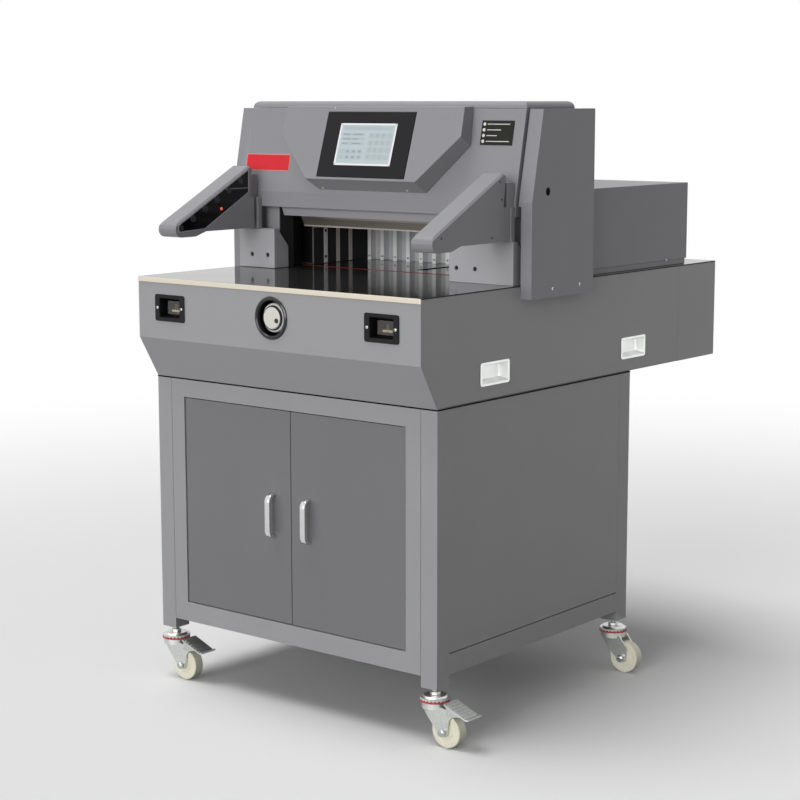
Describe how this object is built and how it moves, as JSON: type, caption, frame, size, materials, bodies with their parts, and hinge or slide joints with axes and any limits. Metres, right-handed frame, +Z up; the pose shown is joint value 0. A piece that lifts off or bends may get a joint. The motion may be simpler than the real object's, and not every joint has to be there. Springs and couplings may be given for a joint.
{
  "type": "programmable paper cutter",
  "caption": "Floor-standing electric guillotine for stacked paper, with a touch screen head, guard arms, polished table and wheeled cabinet.",
  "frame": {"origin": "middle of the bounding box's underside, on the floor below the wheels", "axes": "+X to the operator's right, +Y from the operator's side to the rear, +Z up"},
  "size_m": [0.91, 1.1584, 1.315],
  "materials": {
    "front_paint": "satin",
    "cabinet_paint": "satin",
    "door_paint": "semi-gloss",
    "head_paint": "satin",
    "cast_paint": "painted",
    "black_plastic": "moulded",
    "black_acrylic": "gloss",
    "guide_paint": "gloss",
    "polished_iron": "polished",
    "chrome": "polished",
    "aluminium": "extruded",
    "zinc": "zinc plated",
    "tool_steel": "ground",
    "trim_metal": "brushed",
    "nylon": "moulded",
    "red_plastic": "extruded",
    "ivory_plastic": "moulded",
    "button_lens": "moulded"
  },
  "bodies": {
    "base": {"cabinet_frame": "cabinet_paint", "cabinet_floor": "cabinet_paint", "cabinet_back": "cabinet_paint", "housing_front": "front_paint", "housing_rear": "front_paint", "table_plate": "polished_iron", "front_trim": "trim_metal", "cutting_stick": "red_plastic", "jog_dish": "black_plastic", "machine_frame": "cast_paint", "head_cover": "head_paint", "head_lid": "head_paint", "control_pod": "head_paint", "rear_cover": "front_paint", "drive_unit": "cast_paint", "power_inlet": "black_plastic", "touch_screen": "black_acrylic", "cabinet_side_left": "cabinet_paint", "housing_left": "front_paint", "button_bezel_left": "black_plastic", "side_guide_left": "guide_paint", "pedestal_left": "cast_paint", "tower_cover_left": "head_paint", "guard_arm_left": "head_paint", "sensor_window_left": "black_acrylic", "caster_stem_front_left": "zinc", "caster_stem_rear_left": "zinc", "cabinet_side_right": "cabinet_paint", "housing_right": "front_paint", "button_bezel_right": "black_plastic", "side_guide_right": "guide_paint", "pedestal_right": "cast_paint", "tower_cover_right": "head_paint", "guard_arm_right": "head_paint", "sensor_window_right": "black_acrylic", "caster_stem_front_right": "zinc", "caster_stem_rear_right": "zinc"},
    "cabinet_door_left": {"door_left": "door_paint", "door_pull_left": "chrome"},
    "cut_button_left": {"cut_button_left": "button_lens"},
    "cabinet_door_right": {"door_right": "door_paint", "door_pull_right": "chrome"},
    "cut_button_right": {"cut_button_right": "button_lens"},
    "jog_wheel": {"jog_wheel": "ivory_plastic"},
    "clamp": {"clamp_bar": "tool_steel"},
    "knife": {"knife_carrier": "cast_paint", "knife_blade": "tool_steel"},
    "back_gauge": {"back_gauge": "aluminium"},
    "gauge_screw": {"gauge_screw": "tool_steel"},
    "caster_front_left": {"caster_fork_front_left": "zinc"},
    "wheel_front_left": {"caster_wheel_front_left": "nylon"},
    "pedal_front_left": {"caster_pedal_front_left": "zinc"},
    "caster_front_right": {"caster_fork_front_right": "zinc"},
    "wheel_front_right": {"caster_wheel_front_right": "nylon"},
    "pedal_front_right": {"caster_pedal_front_right": "zinc"},
    "caster_rear_left": {"caster_fork_rear_left": "zinc"},
    "wheel_rear_left": {"caster_wheel_rear_left": "nylon"},
    "caster_rear_right": {"caster_fork_rear_right": "zinc"},
    "wheel_rear_right": {"caster_wheel_rear_right": "nylon"}
  },
  "joints": [
    {"name": "door_left_hinge", "type": "hinge", "parent": "base", "child": "cabinet_door_left", "pos_m": [-0.335, -0.51425, 0.424], "axis": [0, 0, -1], "range_deg": [0, 105]},
    {"name": "door_right_hinge", "type": "hinge", "parent": "base", "child": "cabinet_door_right", "pos_m": [0.281, -0.51425, 0.424], "axis": [0, 0, 1], "range_deg": [0, 105]},
    {"name": "cut_button_left_press", "type": "slide", "parent": "base", "child": "cut_button_left", "axis": [0, 1, 0], "range_m": [0, 0.004], "stiffness_N_per_m": 600, "springref_m": -0.003},
    {"name": "cut_button_right_press", "type": "slide", "parent": "base", "child": "cut_button_right", "axis": [0, 1, 0], "range_m": [0, 0.004], "stiffness_N_per_m": 600, "springref_m": -0.003},
    {"name": "jog_wheel_turn", "type": "hinge", "parent": "base", "child": "jog_wheel", "pos_m": [-0.027, -0.56525, 0.866], "axis": [0, -1, 0], "continuous": true},
    {"name": "clamp_slide", "type": "slide", "parent": "base", "child": "clamp", "axis": [0, 0, -1], "range_m": [0, 0.092]},
    {"name": "knife_slide", "type": "slide", "parent": "base", "child": "knife", "axis": [-0.191, 0, -0.9816], "range_m": [0, 0.0937]},
    {"name": "gauge_slide", "type": "slide", "parent": "base", "child": "back_gauge", "axis": [0, 1, 0], "range_m": [-0.175, 0.31]},
    {"name": "gauge_screw_turn", "type": "hinge", "parent": "base", "child": "gauge_screw", "pos_m": [-0.027, 0.02475, 0.892], "axis": [0, 1, 0], "range_deg": [-11165, 6305]},
    {"name": "caster_front_left_swivel", "type": "hinge", "parent": "base", "child": "caster_front_left", "pos_m": [-0.406, -0.50025, 0.092], "axis": [0, 0, 1], "continuous": true},
    {"name": "wheel_front_left_roll", "type": "hinge", "parent": "caster_front_left", "child": "wheel_front_left", "pos_m": [-0.369, -0.50025, 0.036], "axis": [0, 1, 0], "continuous": true},
    {"name": "pedal_front_left_tip", "type": "hinge", "parent": "caster_front_left", "child": "pedal_front_left", "pos_m": [-0.356, -0.50025, 0.078], "axis": [0, 1, 0], "range_deg": [0, 12]},
    {"name": "caster_front_right_swivel", "type": "hinge", "parent": "base", "child": "caster_front_right", "pos_m": [0.352, -0.50025, 0.092], "axis": [0, 0, 1], "continuous": true},
    {"name": "wheel_front_right_roll", "type": "hinge", "parent": "caster_front_right", "child": "wheel_front_right", "pos_m": [0.389, -0.50025, 0.036], "axis": [0, 1, 0], "continuous": true},
    {"name": "pedal_front_right_tip", "type": "hinge", "parent": "caster_front_right", "child": "pedal_front_right", "pos_m": [0.402, -0.50025, 0.078], "axis": [0, 1, 0], "range_deg": [0, 12]},
    {"name": "caster_rear_left_swivel", "type": "hinge", "parent": "base", "child": "caster_rear_left", "pos_m": [-0.406, 0.17675, 0.092], "axis": [0, 0, 1], "continuous": true},
    {"name": "wheel_rear_left_roll", "type": "hinge", "parent": "caster_rear_left", "child": "wheel_rear_left", "pos_m": [-0.369, 0.17675, 0.036], "axis": [0, 1, 0], "continuous": true},
    {"name": "caster_rear_right_swivel", "type": "hinge", "parent": "base", "child": "caster_rear_right", "pos_m": [0.352, 0.17675, 0.092], "axis": [0, 0, 1], "continuous": true},
    {"name": "wheel_rear_right_roll", "type": "hinge", "parent": "caster_rear_right", "child": "wheel_rear_right", "pos_m": [0.389, 0.17675, 0.036], "axis": [0, 1, 0], "continuous": true}
  ],
  "couplings": [
    {"joint": "gauge_screw_turn", "follows": "gauge_slide", "rad_per_m": -628.32}
  ]
}
